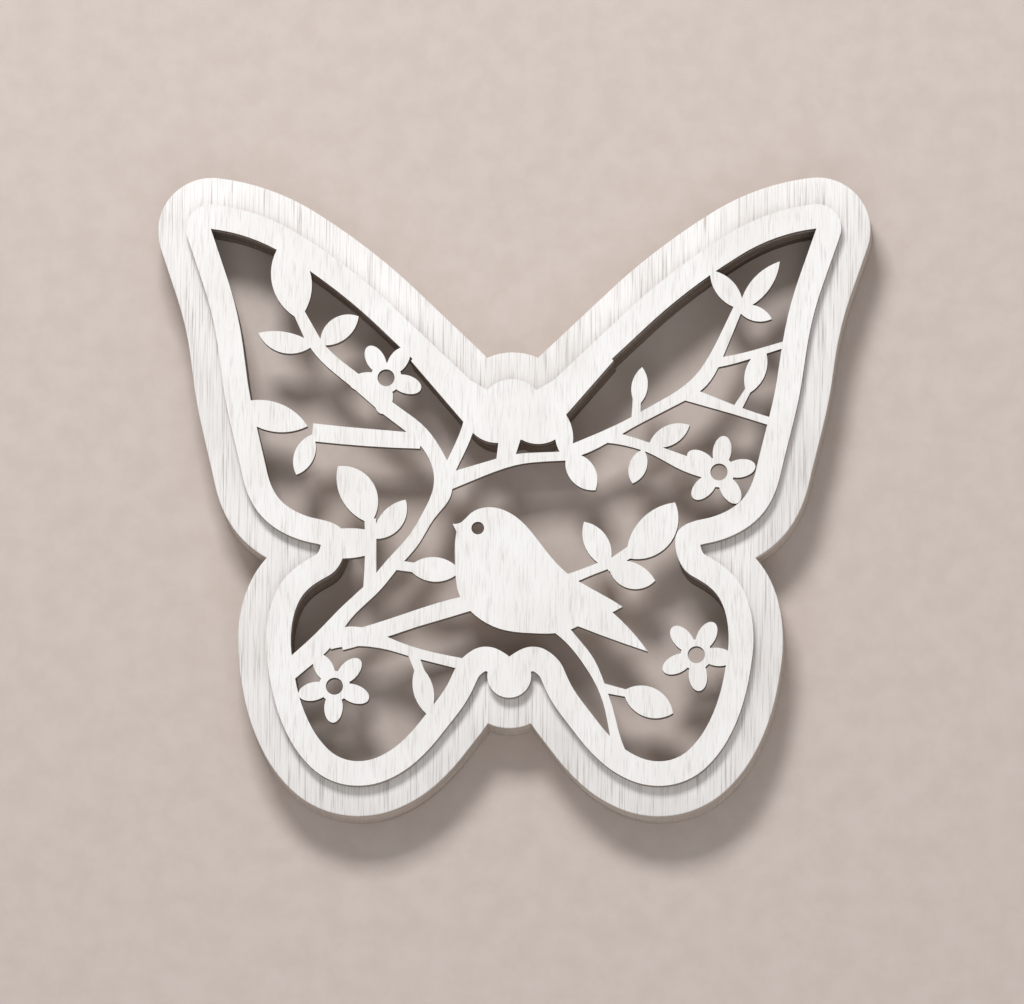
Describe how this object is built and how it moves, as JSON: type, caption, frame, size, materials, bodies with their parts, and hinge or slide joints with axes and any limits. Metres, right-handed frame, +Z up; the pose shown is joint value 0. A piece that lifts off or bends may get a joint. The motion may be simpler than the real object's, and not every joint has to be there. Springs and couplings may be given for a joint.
{
  "type": "layered fretwork butterfly plaque",
  "caption": "Flat butterfly plaque of whitewashed wood: a thick open ring carries a thin fretwork board with a bird, branches, leaves and flowers.",
  "frame": {"origin": "centre of the underside, on the surface that the plaque lies on", "axes": "+X to the right across the wings, +Y from tail to head, +Z up out of the decorated face"},
  "size_m": [0.179, 0.1622, 0.0145],
  "materials": {
    "plate_wood": "whitewashed, brushed grain, brown sawn edges",
    "fretwork_wood": "whitewashed, fine grain"
  },
  "bodies": {
    "root": {"back_plate": "plate_wood", "front_fretwork": "fretwork_wood"}
  },
  "joints": []
}
